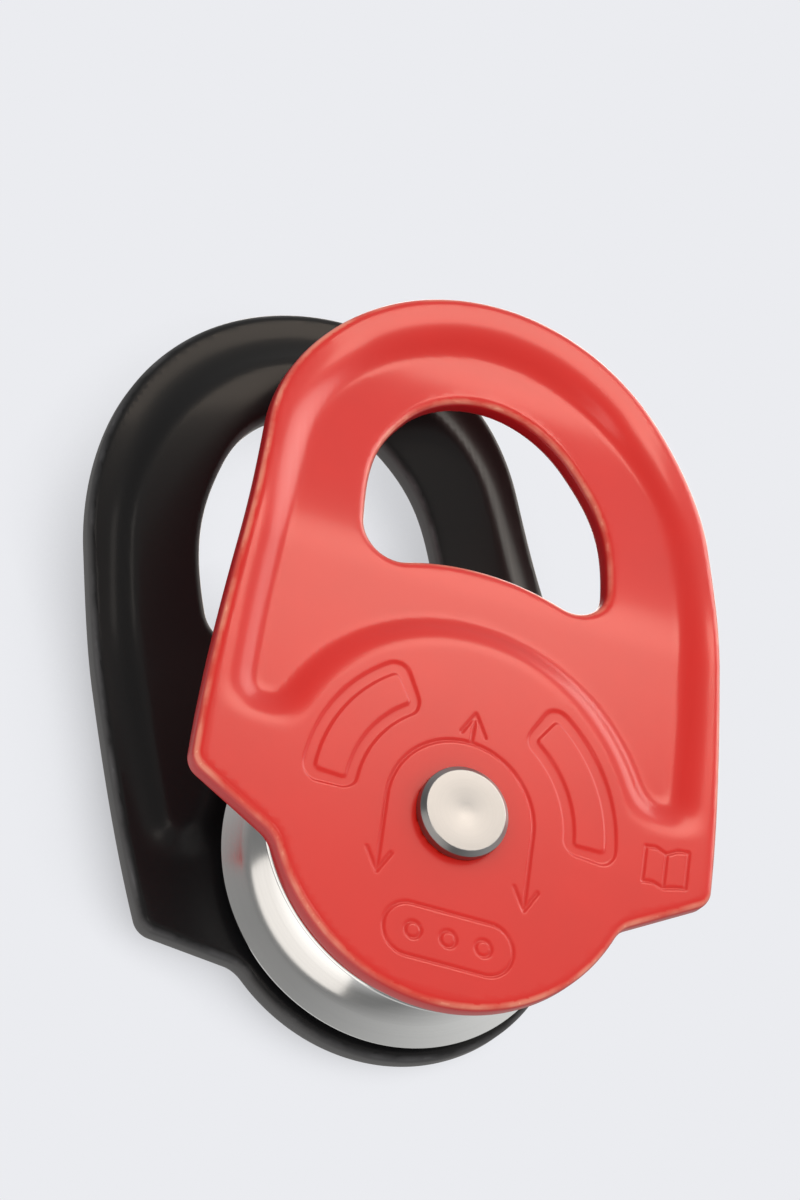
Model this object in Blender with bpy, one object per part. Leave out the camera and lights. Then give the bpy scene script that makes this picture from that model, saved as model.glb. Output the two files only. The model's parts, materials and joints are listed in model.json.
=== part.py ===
# Swing-cheek rope pulley: two formed side plates that swing on a riveted axle, and a grooved
# sheave on two sealed ball bearings between them.
# Metres, +Z up, axle along Y, front plate towards -Y.
# The origin is where a connector bears in the front plate's eye, midway between the plates.
import math

import bmesh
import bpy
from mathutils import Matrix, Vector
from mathutils.geometry import delaunay_2d_cdt

MM = 0.001

# ---- Driving dimensions, in millimetres; x and z are measured from the axle ----
PLATE_THICKNESS = 4.0
PLATE_SPACING = 20.8        # between the plates' inner faces at the axle
PLATE_SWING = -23.2         # degrees about +Y, how far the rear plate is swung open

FOOT_RADIUS = 26.5          # round foot of the plate, about the axle
HALF_WIDTH = 37.3           # at the ears
EAR_RADIUS = 3.0
EAR_Z = -0.7
SHOULDER_SLOPE = 29.0       # degrees, the edge between foot and ear
SHOULDER_FILLET = 5.0
CROWN_RADIUS = 33.3
CROWN_Z = 47.7
CROWN_START = 6.0           # degrees above level where the side runs into the crown
SIDE_REACH = 17.0           # length of the side curve's two handles

EYE_RADIUS = 15.4
EYE_Z = 50.0
EYE_START = 38.0            # degrees above level where the eye's side runs into its arch
EYE_HALF_WIDTH = 18.1
EYE_SILL_RADIUS = 36.9      # lower edge of the eye, about the axle
EYE_LOBE_RADIUS = 5.0
EYE_SIDE_REACH = (9.0, 8.0)

POCKET_DEPTH = 1.6          # the pressed pocket round the eye
POCKET_WALL = 5.5           # width of its sloping wall along the plate's edge
POCKET_CREST_RADIUS = 25.5  # its lower wall is concentric with the axle
POCKET_FOOT_RADIUS = 28.3
POCKET_CREST_Z = 6.0        # and its lower corners lie above the ears
POCKET_FOOT_Z = 8.8

JOGGLE_DEPTH = 7.2          # the top of the plate is set over towards the other plate
JOGGLE_START_Z = 32.0
JOGGLE_END_Z = 70.0

AXLE_RADIUS = 5.0
HEAD_RADIUS = 6.3
HEAD_FACE_RADIUS = 5.6
HEAD_HEIGHT = 2.1
RIVET_SPIGOT_RADIUS = 3.5
BUSH_RADIUS = 5.75
PLATE_BORE_RADIUS = 5.85
WASHER_RADIUS = 7.6

SHEAVE_RADIUS = 25.4
SHEAVE_WIDTH = 17.0
TREAD_RADIUS = 19.0
GROOVE_RADIUS = 7.6         # seats ropes up to 13 mm
GROOVE_DEPTH_ANGLE = 62.0   # degrees of arc on each side of the groove's lowest line
SHEAVE_LIP = (1.0, 0.6)     # chamfer of the flange tips, radially and along the axle
BEARING_SEAT_RADIUS = 13.0
SHEAVE_RIB = 1.0            # the rib between the two bearing seats
SHEAVE_RIB_RADIUS = 11.4

BALL_RADIUS = 2.38
BALL_COUNT = 7
PITCH_RADIUS = 9.0
RACE_RADIUS = 2.5
RACE_CLEARANCE = 0.17
INNER_SHOULDER_RADIUS = 7.5
OUTER_SHOULDER_RADIUS = 10.5
CAGE_HALF_HEIGHT = 0.85     # radially, each side of the pitch circle
CAGE_HALF_WIDTH = 3.1
CAGE_POCKET_RADIUS = 2.55
CAGE_CUTTER_LENGTH = 5.1    # long enough to pass right through the cage
SEAL_THICKNESS = 0.4

FIT = 0.1                   # radial running clearance
GAP = 0.15                  # end clearance between pieces that rest on each other

ROUND_STEPS = 48
BEARING_STEPS = 32
RACE_POINTS = 7             # along a ball groove's profile
GRID = 6.0                  # spacing of the free mesh points inside a plate
GRID_CLEARANCE = 2.7        # no free point lies nearer than this to an outline
SHARP_ANGLE = 35.0          # degrees, edges sharper than this are shaded as edges

# ---- Worked out from them ----
AXLE_Z = -(EYE_Z + EYE_RADIUS)
INNER_FACE = PLATE_SPACING / 2
OUTER_FACE = INNER_FACE + PLATE_THICKNESS
HEAD_END = OUTER_FACE + HEAD_HEIGHT
SHEAVE_HALF = SHEAVE_WIDTH / 2
BEARING_INNER_END = SHEAVE_RIB / 2 + FIT
BEARING_WIDTH = SHEAVE_HALF - BEARING_INNER_END
BEARING_CENTRE = BEARING_INNER_END + BEARING_WIDTH / 2

# sRGB as seen, roughness, metallic
FINISHES = {
    "red_anodised": ((0.88, 0.31, 0.26), 0.38, 0.9),
    "black_anodised": ((0.07, 0.07, 0.08), 0.42, 0.8),
    "stainless_steel": ((0.72, 0.72, 0.72), 0.28, 1.0),
    "polished_aluminium": ((0.86, 0.87, 0.88), 0.2, 1.0),
    "bearing_steel": ((0.62, 0.63, 0.64), 0.2, 1.0),
    "bronze": ((0.66, 0.5, 0.3), 0.35, 1.0),
    "nylon": ((0.78, 0.74, 0.62), 0.5, 0.0),
    "seal_rubber": ((0.05, 0.05, 0.05), 0.6, 0.0),
}


def clear_scene():
    for item in list(bpy.data.objects):
        bpy.data.objects.remove(item, do_unlink=True)


def srgb_to_linear(value):
    return value / 12.92 if value <= 0.04045 else ((value + 0.055) / 1.055) ** 2.4


def finish_for(name, finish):
    colour, roughness, metallic = FINISHES[finish]
    material = bpy.data.materials.new(name + "_" + finish)
    material.use_nodes = True
    shader = material.node_tree.nodes["Principled BSDF"]
    linear = [srgb_to_linear(channel) for channel in colour]
    shader.inputs["Base Color"].default_value = (*linear, 1.0)
    shader.inputs["Roughness"].default_value = roughness
    shader.inputs["Metallic"].default_value = metallic
    material.diffuse_color = (*linear, 1.0)
    return material


def axle_line():
    """The empty on the axle's axis that every piece hangs from."""
    empty = bpy.data.objects.new("axle_line", None)
    empty.location = (0.0, 0.0, AXLE_Z * MM)
    bpy.context.collection.objects.link(empty)
    return empty


def add_piece(name, bm, finish, parent):
    """Turns a bmesh in millimetres into a named object on the axle line."""
    bmesh.ops.recalc_face_normals(bm, faces=bm.faces)
    bmesh.ops.scale(bm, vec=(MM, MM, MM), verts=bm.verts)
    mesh = bpy.data.meshes.new(name)
    bm.to_mesh(mesh)
    bm.free()
    mesh.shade_smooth()
    mesh.set_sharp_from_angle(angle=math.radians(SHARP_ANGLE))
    mesh.materials.append(finish_for(name, finish))
    piece = bpy.data.objects.new(name, mesh)
    piece.parent = parent
    bpy.context.collection.objects.link(piece)
    return piece


# ---- Outlines: lists of (x, z) ----

def arc(centre, radius, start, end, count):
    """Points along a circle's arc, in degrees, without the last one."""
    angles = [math.radians(start + (end - start) * i / count) for i in range(count)]
    return [(centre[0] + radius * math.cos(a), centre[1] + radius * math.sin(a)) for a in angles]


def curve(p0, p1, p2, p3, count):
    """Points along a cubic Bezier curve, without the last one."""
    points = []
    for i in range(count):
        t = i / count
        weights = ((1 - t) ** 3, 3 * t * (1 - t) ** 2, 3 * t * t * (1 - t), t ** 3)
        points.append(tuple(sum(w * p[k] for w, p in zip(weights, (p0, p1, p2, p3))) for k in (0, 1)))
    return points


def on_circle(centre, radius, angle):
    turn = math.radians(angle)
    return (centre[0] + radius * math.cos(turn), centre[1] + radius * math.sin(turn))


def mirrored(right):
    """Closes a right-hand half, which runs from bottom centre to top centre, with its mirror image."""
    return right + [(-x, z) for x, z in reversed(right[1:-1])]


def side_curve(low_x, low_z, centre, radius, start, reach, count):
    """A side that leaves (low_x, low_z) upright and runs into a round top at the angle start."""
    top = on_circle(centre, radius, start)
    turn = math.radians(start)
    handle = (top[0] + reach[1] * math.sin(turn), top[1] - reach[1] * math.cos(turn))
    return curve((low_x, low_z), (low_x, low_z + reach[0]), handle, top, count)


def plate_outline():
    slope = math.radians(SHOULDER_SLOPE)
    along = (math.cos(slope), math.sin(slope))
    out = (math.sin(slope), -math.cos(slope))
    ear = (HALF_WIDTH - EAR_RADIUS, EAR_Z)
    # The fillet's centre runs parallel to the shoulder, and stops one fillet radius outside the foot.
    # Of the two places that fit, it is the one on the ear's side of the foot.
    start = [ear[k] + (EAR_RADIUS + SHOULDER_FILLET) * out[k] for k in (0, 1)]
    reach = FOOT_RADIUS + SHOULDER_FILLET
    b = start[0] * along[0] + start[1] * along[1]
    c = start[0] ** 2 + start[1] ** 2 - reach ** 2
    step = -b + math.sqrt(b * b - c)
    fillet = [start[k] + step * along[k] for k in (0, 1)]
    foot_end = math.degrees(math.atan2(fillet[1], fillet[0]))
    right = arc((0, 0), FOOT_RADIUS, -90.0, foot_end, 12)
    right += arc(fillet, SHOULDER_FILLET, foot_end + 180.0, 90.0 + SHOULDER_SLOPE, 3)
    right += [on_circle(fillet, SHOULDER_FILLET, 90.0 + SHOULDER_SLOPE)]
    right += arc(ear, EAR_RADIUS, SHOULDER_SLOPE - 90.0, 0.0, 4)
    right += side_curve(HALF_WIDTH, EAR_Z, (0, CROWN_Z), CROWN_RADIUS, CROWN_START,
                        (SIDE_REACH, SIDE_REACH), 8)
    right += arc((0, CROWN_Z), CROWN_RADIUS, CROWN_START, 90.0, 12)
    right.append((0.0, CROWN_Z + CROWN_RADIUS))
    return mirrored(right)


def eye_outline():
    lobe_x = EYE_HALF_WIDTH - EYE_LOBE_RADIUS
    lobe = (lobe_x, math.sqrt((EYE_SILL_RADIUS + EYE_LOBE_RADIUS) ** 2 - lobe_x ** 2))
    sill_end = math.degrees(math.atan2(lobe[1], lobe[0]))
    right = arc((0, 0), EYE_SILL_RADIUS, 90.0, sill_end, 3)
    right += arc(lobe, EYE_LOBE_RADIUS, sill_end - 180.0, 0.0, 5)
    right += side_curve(EYE_HALF_WIDTH, lobe[1], (0, EYE_Z), EYE_RADIUS, EYE_START, EYE_SIDE_REACH, 5)
    right += arc((0, EYE_Z), EYE_RADIUS, EYE_START, 90.0, 5)
    right.append((0.0, EYE_Z + EYE_RADIUS))
    return mirrored(right)


def pocket_foot():
    """Closed line where the pocket's sloping walls meet its floor."""
    half = HALF_WIDTH - POCKET_WALL
    low_angle = math.degrees(math.asin(POCKET_FOOT_Z / POCKET_FOOT_RADIUS))
    right = arc((0, 0), POCKET_FOOT_RADIUS, 90.0, low_angle, 8)
    right.append(on_circle((0, 0), POCKET_FOOT_RADIUS, low_angle))
    right += side_curve(half, POCKET_FOOT_Z, (0, CROWN_Z), CROWN_RADIUS - POCKET_WALL, CROWN_START,
                        (SIDE_REACH, SIDE_REACH), 6)
    right += arc((0, CROWN_Z), CROWN_RADIUS - POCKET_WALL, CROWN_START, 90.0, 10)
    right.append((0.0, CROWN_Z + CROWN_RADIUS - POCKET_WALL))
    return mirrored(right)


def pocket_crest():
    """Open line where the pocket's lower wall leaves the round boss about the axle."""
    low_angle = math.degrees(math.asin(POCKET_CREST_Z / POCKET_CREST_RADIUS))
    right = arc((0, 0), POCKET_CREST_RADIUS, 90.0, low_angle, 8)
    right.append(on_circle((0, 0), POCKET_CREST_RADIUS, low_angle))
    right.append((HALF_WIDTH - 1.0, POCKET_CREST_Z))
    return [(-x, z) for x, z in reversed(right[1:])] + right


# ---- The plates' pressed shape ----

def distance_to(loop, point):
    """Shortest distance from a point to a closed line."""
    best = math.inf
    for (ax, az), (bx, bz) in zip(loop, loop[1:] + loop[:1]):
        dx, dz = bx - ax, bz - az
        t = ((point[0] - ax) * dx + (point[1] - az) * dz) / (dx * dx + dz * dz)
        t = min(1.0, max(0.0, t))
        best = min(best, math.hypot(point[0] - ax - t * dx, point[1] - az - t * dz))
    return best


def inside(loop, point):
    """True if the point lies inside the closed line."""
    crossings = 0
    for (ax, az), (bx, bz) in zip(loop, loop[1:] + loop[:1]):
        if (az > point[1]) != (bz > point[1]):
            crossings += point[0] < ax + (point[1] - az) * (bx - ax) / (bz - az)
    return crossings % 2 == 1


def ramp(value, start, end):
    return min(1.0, max(0.0, (value - start) / (end - start)))


def set_back(point, outline):
    """How far the pressing moves the plate at (x, z) towards the other plate."""
    x, z = point
    rise = ramp(z, JOGGLE_START_Z, JOGGLE_END_Z)
    joggle = JOGGLE_DEPTH * rise * rise * (3.0 - 2.0 * rise)
    pocket = min(ramp(math.hypot(x, z), POCKET_CREST_RADIUS, POCKET_FOOT_RADIUS),
                 ramp(z, POCKET_CREST_Z, POCKET_FOOT_Z),
                 ramp(distance_to(outline, point), 0.0, POCKET_WALL))
    return joggle + POCKET_DEPTH * pocket


def plate_points(loops, outline):
    """The outlines' points, and a loose grid of points inside the plate to carry its shape."""
    points = [point for loop in loops for point in loop]
    fixed = list(points)
    columns = int(HALF_WIDTH / GRID) + 1
    rows = range(-int(FOOT_RADIUS / GRID), int((CROWN_Z + CROWN_RADIUS) / GRID) + 1)
    for row in rows:
        for column in range(-columns, columns + 1):
            point = (column * GRID, row * GRID)
            apart = min(math.dist(point, other) for other in fixed)
            if inside(outline, point) and apart > GRID_CLEARANCE:
                points.append(point)
    return points


def build_plate(name, finish, side, parent):
    """A side plate; side is -1 for the front and +1 for the rear."""
    outline = plate_outline()
    eye = eye_outline()
    bore = arc((0, 0), PLATE_BORE_RADIUS, 0.0, 360.0, BEARING_STEPS)
    foot = pocket_foot()
    crest = pocket_crest()
    loops = (outline, eye, bore, foot, crest)
    edges = []
    start = 0
    for loop in loops:
        count = len(loop)
        last = count - 1 if loop is crest else count
        edges += [(start + i, start + (i + 1) % count) for i in range(last)]
        start += count
    points = plate_points(loops, outline)
    flat, _, faces, *_ = delaunay_2d_cdt([(x, z) for x, z in points], edges, [], 0, 1e-5)
    bm = bmesh.new()
    outer, inner = [], []
    for x, z in flat:
        level = set_back((x, z), outline)
        outer.append(bm.verts.new((x, side * (OUTER_FACE - level), z)))
        inner.append(bm.verts.new((x, side * (INNER_FACE - level), z)))
    used = {}
    for face in faces:
        middle = [sum(flat[i][k] for i in face) / 3.0 for k in (0, 1)]
        if not inside(outline, middle) or inside(eye, middle) or inside(bore, middle):
            continue
        bm.faces.new([outer[i] for i in face])
        bm.faces.new([inner[i] for i in reversed(face)])
        for a, b in zip(face, face[1:] + face[:1]):
            used.setdefault(frozenset((a, b)), []).append((a, b))
    for uses in used.values():
        if len(uses) == 1:
            a, b = uses[0]
            bm.faces.new((outer[b], outer[a], inner[a], inner[b]))
    loose = [vert for vert in bm.verts if not vert.link_faces]
    bmesh.ops.delete(bm, geom=loose, context="VERTS")
    return add_piece(name, bm, finish, parent)


# ---- Turned pieces: profiles are lists of (radius, y) ----

def turn(profile, steps, closed=True):
    """Spins a profile about the Y axis; an open profile starts and ends on the axis."""
    bm = bmesh.new()
    verts = [bm.verts.new((radius, y, 0.0)) for radius, y in profile]
    pairs = list(zip(verts, verts[1:]))
    if closed:
        pairs.append((verts[-1], verts[0]))
    edges = [bm.edges.new(pair) for pair in pairs]
    bmesh.ops.spin(bm, geom=verts + edges, cent=(0, 0, 0), axis=(0, 1, 0), dvec=(0, 0, 0),
                   angle=math.tau, steps=steps, use_merge=True, use_duplicate=False)
    bmesh.ops.remove_doubles(bm, verts=bm.verts, dist=1e-5)
    return bm


def ring_profile(inner, outer, low, high):
    return [(inner, low), (outer, low), (outer, high), (inner, high)]


def build_ring(name, finish, parent, inner, outer, low, high, steps=ROUND_STEPS):
    return add_piece(name, turn(ring_profile(inner, outer, low, high), steps), finish, parent)


def build_axle(parent):
    chamfer = HEAD_RADIUS - HEAD_FACE_RADIUS
    profile = [
        (0.0, -HEAD_END),
        (HEAD_FACE_RADIUS, -HEAD_END),
        (HEAD_RADIUS, -HEAD_END + chamfer),
        (HEAD_RADIUS, -OUTER_FACE - GAP),
        (AXLE_RADIUS, -OUTER_FACE - GAP),
        (AXLE_RADIUS, OUTER_FACE),
        (RIVET_SPIGOT_RADIUS, OUTER_FACE),
        (RIVET_SPIGOT_RADIUS, HEAD_END - chamfer),
        (0.0, HEAD_END - chamfer),
    ]
    return add_piece("axle_pin", turn(profile, ROUND_STEPS, closed=False), "stainless_steel", parent)


def build_rivet_head(parent):
    """The head closed over the axle's spigot behind the rear plate."""
    chamfer = HEAD_RADIUS - HEAD_FACE_RADIUS
    bore = RIVET_SPIGOT_RADIUS + FIT
    profile = [
        (bore, OUTER_FACE + GAP),
        (HEAD_RADIUS, OUTER_FACE + GAP),
        (HEAD_RADIUS, HEAD_END - chamfer),
        (HEAD_FACE_RADIUS, HEAD_END),
        (bore, HEAD_END),
    ]
    return add_piece("rear_rivet_head", turn(profile, ROUND_STEPS), "stainless_steel", parent)


def groove_profile():
    """The rope groove from the front flange to the rear one: a round seat and sloping flanks."""
    centre = TREAD_RADIUS + GROOVE_RADIUS
    points = []
    count = 8
    for i in range(count + 1):
        angle = math.radians(-GROOVE_DEPTH_ANGLE + 2 * GROOVE_DEPTH_ANGLE * i / count)
        points.append((centre - GROOVE_RADIUS * math.cos(angle), GROOVE_RADIUS * math.sin(angle)))
    return points


def build_sheave(parent):
    half = SHEAVE_HALF
    lip, lip_width = SHEAVE_LIP
    seat, rib = BEARING_SEAT_RADIUS, SHEAVE_RIB / 2
    profile = [(seat, -half), (SHEAVE_RADIUS - lip, -half), (SHEAVE_RADIUS, -half + lip_width)]
    profile += groove_profile()
    profile += [(SHEAVE_RADIUS, half - lip_width), (SHEAVE_RADIUS - lip, half), (seat, half)]
    profile += [(seat, rib), (SHEAVE_RIB_RADIUS, rib), (SHEAVE_RIB_RADIUS, -rib), (seat, -rib)]
    return add_piece("sheave", turn(profile, ROUND_STEPS), "polished_aluminium", parent)


# ---- The two ball bearings ----

def race_profile(edge_radius, shoulder_radius, centre):
    """A bearing ring: a plain edge, two shoulders and the ball groove between them."""
    inward = 1 if shoulder_radius > PITCH_RADIUS else -1
    groove_centre = PITCH_RADIUS + inward * (BALL_RADIUS + RACE_CLEARANCE - RACE_RADIUS)
    depth = (shoulder_radius - groove_centre) * inward
    spread = math.acos(depth / RACE_RADIUS)
    half = BEARING_WIDTH / 2
    groove = []
    for i in range(RACE_POINTS):
        angle = -spread + 2 * spread * i / (RACE_POINTS - 1)
        groove.append((groove_centre + inward * RACE_RADIUS * math.cos(angle),
                       centre + RACE_RADIUS * math.sin(angle)))
    return [(edge_radius, centre - half), (shoulder_radius, centre - half), *groove,
            (shoulder_radius, centre + half), (edge_radius, centre + half)]


def cut(piece, cutter_mesh, name):
    """Cuts a hidden cutter out of a piece with a Boolean modifier."""
    cutter = bpy.data.objects.new(name, cutter_mesh)
    cutter.parent = piece.parent
    cutter.hide_render = True
    cutter.display_type = "WIRE"
    bpy.context.collection.objects.link(cutter)
    modifier = piece.modifiers.new("pockets", "BOOLEAN")
    modifier.operation = "DIFFERENCE"
    modifier.object = cutter


def pocket_cutters(name, centre):
    """Radial cylinders, one for each ball, that cut the cage's pockets."""
    bm = bmesh.new()
    for i in range(BALL_COUNT):
        place = (Matrix.Rotation(math.tau * i / BALL_COUNT, 4, "Y")
                 @ Matrix.Translation(Vector((0.0, centre, PITCH_RADIUS))))
        bmesh.ops.create_cone(bm, cap_ends=True, segments=12, radius1=CAGE_POCKET_RADIUS,
                              radius2=CAGE_POCKET_RADIUS, depth=CAGE_CUTTER_LENGTH, matrix=place)
    bmesh.ops.recalc_face_normals(bm, faces=bm.faces)
    bmesh.ops.scale(bm, vec=(MM, MM, MM), verts=bm.verts)
    mesh = bpy.data.meshes.new(name)
    bm.to_mesh(mesh)
    bm.free()
    return mesh


def build_cage(name, centre, parent):
    cage = build_ring(name, "nylon", parent, PITCH_RADIUS - CAGE_HALF_HEIGHT,
                      PITCH_RADIUS + CAGE_HALF_HEIGHT, centre - CAGE_HALF_WIDTH,
                      centre + CAGE_HALF_WIDTH, BEARING_STEPS)
    cut(cage, pocket_cutters(name + "_cutter", centre), name + "_cutter")


def build_balls(prefix, centre, parent):
    for i in range(BALL_COUNT):
        bm = bmesh.new()
        bmesh.ops.create_icosphere(bm, subdivisions=2, radius=BALL_RADIUS)
        turn_i = math.tau * i / BALL_COUNT
        place = (PITCH_RADIUS * math.sin(turn_i), centre, PITCH_RADIUS * math.cos(turn_i))
        bmesh.ops.translate(bm, verts=bm.verts, vec=place)
        add_piece(f"{prefix}_ball_{i + 1}", bm, "bearing_steel", parent)


def build_bearing(prefix, side, parent):
    centre = side * BEARING_CENTRE
    outer = race_profile(BEARING_SEAT_RADIUS - FIT, OUTER_SHOULDER_RADIUS, centre)
    inner = race_profile(AXLE_RADIUS + FIT, INNER_SHOULDER_RADIUS, centre)
    add_piece(prefix + "_outer_ring", turn(outer, BEARING_STEPS), "bearing_steel", parent)
    add_piece(prefix + "_inner_ring", turn(inner, BEARING_STEPS), "bearing_steel", parent)
    build_cage(prefix + "_cage", centre, parent)
    build_balls(prefix, centre, parent)
    face = BEARING_WIDTH / 2 - GAP
    for place, sign in (("outboard", side), ("inboard", -side)):
        far, near = centre + sign * face, centre + sign * (face - SEAL_THICKNESS)
        build_ring(f"{prefix}_{place}_seal", "seal_rubber", parent, INNER_SHOULDER_RADIUS + FIT,
                   OUTER_SHOULDER_RADIUS - FIT, min(far, near), max(far, near), BEARING_STEPS)


def build_axle_rings(parent):
    """The plain rings threaded on the axle: bushes, thrust washers and the bearing spacer."""
    bore = AXLE_RADIUS + FIT
    spacer_half = BEARING_INNER_END - GAP
    build_ring("bearing_spacer", "stainless_steel", parent, bore, INNER_SHOULDER_RADIUS - FIT,
               -spacer_half, spacer_half)
    for place, side in (("front", -1), ("rear", 1)):
        washer = sorted((side * (SHEAVE_HALF + GAP), side * (INNER_FACE - GAP)))
        build_ring(place + "_thrust_washer", "stainless_steel", parent, bore, WASHER_RADIUS, *washer)
        bush = sorted((side * (INNER_FACE + FIT), side * (OUTER_FACE - FIT)))
        build_ring(place + "_plate_bush", "bronze", parent, bore, BUSH_RADIUS, *bush)


def main():
    clear_scene()
    axis = axle_line()
    build_plate("front_side_plate", "red_anodised", -1, axis)
    rear = build_plate("rear_side_plate", "black_anodised", 1, axis)
    rear.rotation_euler.y = math.radians(PLATE_SWING)
    build_axle(axis)
    build_rivet_head(axis)
    build_axle_rings(axis)
    build_sheave(axis)
    build_bearing("front_bearing", -1, axis)
    build_bearing("rear_bearing", 1, axis)


main()
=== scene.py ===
import json
import math

import bpy
import numpy as np
from mathutils import Matrix, Vector


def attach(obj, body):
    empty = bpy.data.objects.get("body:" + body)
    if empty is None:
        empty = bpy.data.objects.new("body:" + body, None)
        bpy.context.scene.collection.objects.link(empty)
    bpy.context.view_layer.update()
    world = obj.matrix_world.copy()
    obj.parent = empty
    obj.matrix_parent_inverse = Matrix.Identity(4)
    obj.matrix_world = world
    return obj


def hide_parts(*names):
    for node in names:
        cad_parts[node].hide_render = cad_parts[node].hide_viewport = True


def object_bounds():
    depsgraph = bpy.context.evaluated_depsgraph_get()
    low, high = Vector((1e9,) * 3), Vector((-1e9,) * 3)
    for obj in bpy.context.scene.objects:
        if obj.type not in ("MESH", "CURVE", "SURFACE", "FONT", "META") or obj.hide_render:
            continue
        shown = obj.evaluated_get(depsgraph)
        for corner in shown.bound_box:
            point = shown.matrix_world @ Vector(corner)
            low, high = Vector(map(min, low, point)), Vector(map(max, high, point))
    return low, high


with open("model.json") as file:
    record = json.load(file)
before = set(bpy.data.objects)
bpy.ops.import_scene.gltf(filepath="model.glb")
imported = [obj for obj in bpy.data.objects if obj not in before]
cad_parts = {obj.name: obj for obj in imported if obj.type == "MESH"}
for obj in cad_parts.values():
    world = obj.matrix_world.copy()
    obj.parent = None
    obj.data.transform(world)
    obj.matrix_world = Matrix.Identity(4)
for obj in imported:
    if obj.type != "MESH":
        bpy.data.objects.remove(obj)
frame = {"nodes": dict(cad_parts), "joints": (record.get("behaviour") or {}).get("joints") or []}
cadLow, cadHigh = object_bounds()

mm = 0.001
joints = {joint["name"]: joint for joint in frame["joints"]}
axleZ = joints["sheave_spin"]["pos_m"][2]  # every turning piece turns on this line
axlePoint = Vector((0.0, 0.0, axleZ))

print("frame loaded, axle at z", round(axleZ / mm, 2), "mm")


def clearSelection():
    if bpy.context.object and bpy.context.object.mode != "OBJECT":
        bpy.ops.object.mode_set(mode="OBJECT")
    bpy.ops.object.select_all(action="DESELECT")


def makeActive(piece):
    clearSelection()
    piece.select_set(True)
    bpy.context.view_layer.objects.active = piece
    return piece


def hexColour(code):
    # an sRGB hex colour as the linear values that Blender's sockets take
    channels = [int(code[i:i + 2], 16) / 255 for i in (1, 3, 5)]
    linear = [c / 12.92 if c <= 0.04045 else ((c + 0.055) / 1.055) ** 2.4 for c in channels]
    return (*linear, 1.0)


def addNode(tree, kind, settings=None, links=None):
    # adds a node; settings name its inputs or properties, links name inputs and what feeds them
    node = tree.nodes.new(kind)
    for name, value in (settings or {}).items():
        if isinstance(name, int) or name in node.inputs:
            node.inputs[name].default_value = value
        else:
            setattr(node, name, value)
    for name, source in (links or {}).items():
        tree.links.new(source, node.inputs[name])
    return node


def newMaterial(name):
    material = bpy.data.materials.new(name)
    material.use_nodes = True
    tree = material.node_tree
    return material, tree, tree.nodes["Principled BSDF"]


def perMm(size):
    # noise scale whose features are about this many millimetres across
    return 1.0 / (size * mm)


def tinted(colour, factor):
    # the same linear colour, darker or lighter
    return (*[min(1.0, c * factor) for c in colour[:3]], 1.0)


anodised = {  # blasted, dyed and sealed sheet: satin, with a pale line along the rims that is partly dye rubbed thinner, partly a painted highlight
    "driftMm": 14.0,             # the dye's slow drift from place to place
    "drift": (0.92, 1.08),
    "grainMm": 0.3,              # blasted grain is nearer 0.1 mm, drawn coarser so that it shows
    "grainBump": 0.05,
    "grainDepth": 0.05,
    "grainGloss": (-0.03, 0.04),
    "rubMm": 6.0,                # the pale rim line, wear and painted highlight together, is patchy along an edge, as rubbing against rope and bark is
    "rubNoise": (0.4, 0.62),
    "rubLeast": 0.25,
    "sealGloss": 0.2,            # roughness of the clear sealed skin over the dye
}
redFinish = {  # strong warm red with a soft sheen
    "hex": "#da1b0f",
    # pale line along the edge crests: rubbed dye with a painted highlight
    "wornAndHighlightHex": "#ffc4a4",
    "edgeShadingHex": "#a70a12",        # painted shade: the sheared side wall drawn a deeper crimson than the face
    "roughness": 0.4,
    "wearAndHighlight": 0.65,
    "specular": 0.25,
    "seal": 0.45,
}
blackFinish = {  # near black, its side walls drawn a lighter grey as a painted reflection, with a pale grey rim line of wear and painted highlight
    "hex": "#141416",
    "wornAndHighlightHex": "#77777b",
    # painted reflection: the side wall drawn a lighter grey than the face
    "edgeShadingHex": "#464648",
    "roughness": 0.42,
    "wearAndHighlight": 0.4,
    "specular": 0.14,
    "seal": 0.12,
}


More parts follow.
